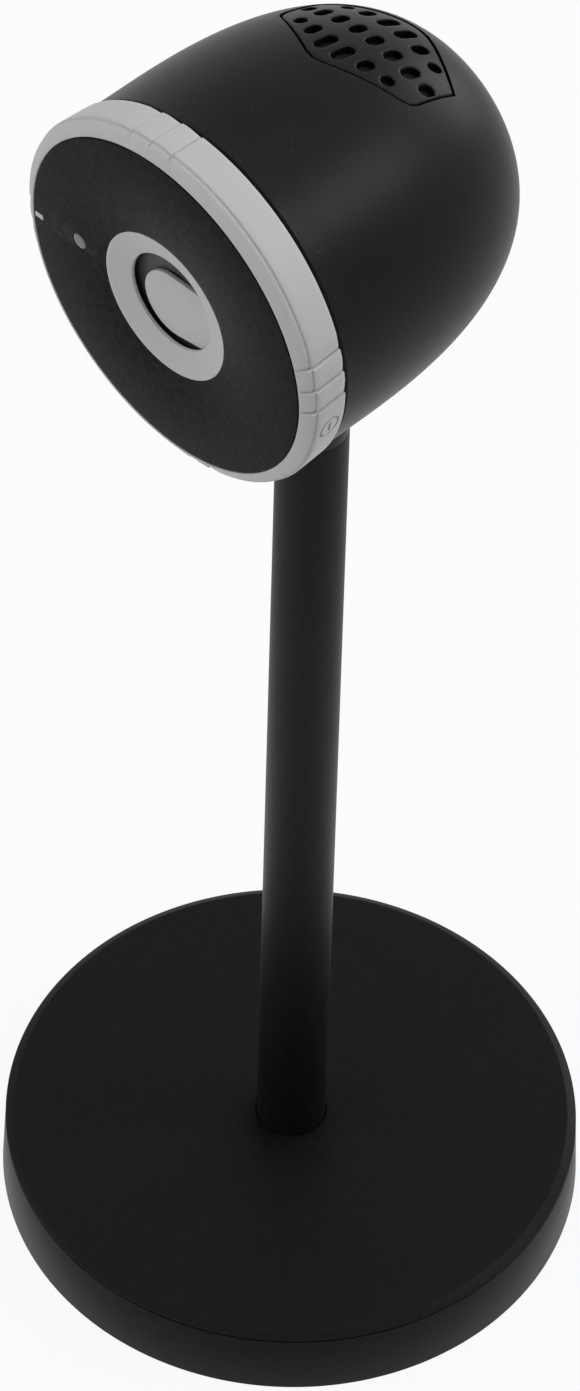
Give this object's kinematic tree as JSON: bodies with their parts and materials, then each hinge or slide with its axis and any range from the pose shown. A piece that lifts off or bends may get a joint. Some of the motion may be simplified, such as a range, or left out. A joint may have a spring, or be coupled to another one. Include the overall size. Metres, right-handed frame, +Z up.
{
  "type": "webcam on tripod",
  "caption": "Cylindrical webcam with a turning privacy ring, domed back and grille, on a ball joint at the top of a slim pole with a round weighted base.",
  "frame": {"origin": "centre of the base's underside, on the surface it stands on", "axes": "+Z up along the pole, the camera looks along -Y, +X is to the right of a person facing the lens"},
  "size_m": [0.084, 0.084, 0.23],
  "materials": {
    "foot_rubber": "matt black rubber",
    "base_paint": "fine-grained matt black paint on a heavy disc",
    "cap_paint": "matt black paint",
    "pole_paint": "satin black paint",
    "steel": "plain steel",
    "brass": "machined brass",
    "housing_plastic": "soft matt black plastic",
    "inner_plastic": "dark moulded plastic",
    "deck_plastic": "dark grey-brown moulded plastic",
    "grey_plastic": "light grey satin plastic",
    "liner_plastic": "off-white low-friction plastic",
    "black_rubber": "black rubber and foam",
    "front_glass": "dark tinted polished glass",
    "optical_glass": "coated lens glass",
    "light_pipe": "smoked clear plastic",
    "mark_print": "light grey inlay",
    "circuit_board": "green solder mask",
    "chip_resin": "black moulding resin",
    "aluminium": "plain aluminium",
    "cable_film": "amber film",
    "led_resin": "clear yellowish resin"
  },
  "bodies": {
    "stand": {"foot_pad": "foot_rubber", "base_weight": "base_paint", "base_cap": "cap_paint", "pole_tube": "pole_paint", "pole_plug": "steel", "base_washer": "steel", "base_screw": "steel", "ball_socket": "pole_paint", "socket_cap": "pole_paint"},
    "swivel": {"seat_ring": "liner_plastic"},
    "ball": {"ball": "steel"},
    "ring": {"control_ring": "grey_plastic"},
    "shutter": {"shutter_blade": "grey_plastic"},
    "head": {"ball_stud": "steel", "rear_housing": "housing_plastic", "grille_panel": "housing_plastic", "dust_mesh": "inner_plastic", "mic_gasket": "black_rubber", "mic_board": "circuit_board", "mic_left": "steel", "mic_right": "steel", "tripod_insert": "brass", "mount_pad": "black_rubber", "front_carrier": "deck_plastic", "ring_seal": "black_rubber", "front_plate": "inner_plastic", "front_screw_1": "steel", "front_screw_2": "steel", "front_screw_3": "steel", "front_screw_4": "steel", "front_glass": "front_glass", "index_mark": "mark_print", "lens_trim_ring": "grey_plastic", "light_pipe": "light_pipe", "status_led": "led_resin", "led_board": "circuit_board", "shutter_pivot": "steel", "lens_barrel": "inner_plastic", "front_lens": "optical_glass", "rear_lens": "optical_glass", "lens_holder": "inner_plastic", "infrared_filter": "optical_glass", "image_sensor": "chip_resin", "sensor_board": "circuit_board", "sensor_screw_1": "steel", "sensor_screw_2": "steel", "main_board": "circuit_board", "board_screw_1": "steel", "board_screw_2": "steel", "board_screw_3": "steel", "image_processor": "chip_resin", "heat_spreader": "aluminium", "flat_cable": "cable_film", "usb_socket": "steel"}
  },
  "joints": [
    {"name": "pan", "type": "hinge", "parent": "stand", "child": "swivel", "pos_m": [0, 0, 0.16744], "axis": [0, 0, 1], "range_deg": [-170, 170]},
    {"name": "tilt", "type": "hinge", "parent": "swivel", "child": "ball", "pos_m": [0, 0, 0.16744], "axis": [1, 0, 0], "range_deg": [-25, 25]},
    {"name": "lean", "type": "hinge", "parent": "ball", "child": "head", "pos_m": [0, 0, 0.16744], "axis": [0, 1, 0], "range_deg": [-15.5, 24.5]},
    {"name": "ring_turn", "type": "hinge", "parent": "head", "child": "ring", "pos_m": [-0.00275, -0.02186, 0.20233], "axis": [0, 1, 0], "range_deg": [0, 30]},
    {"name": "shutter_swing", "type": "hinge", "parent": "head", "child": "shutter", "pos_m": [0.01071, -0.02333, 0.20339], "axis": [0, 1, 0], "range_deg": [0, 75]}
  ],
  "couplings": [
    {"joint": "shutter_swing", "follows": "ring_turn", "ratio": 2.5}
  ]
}
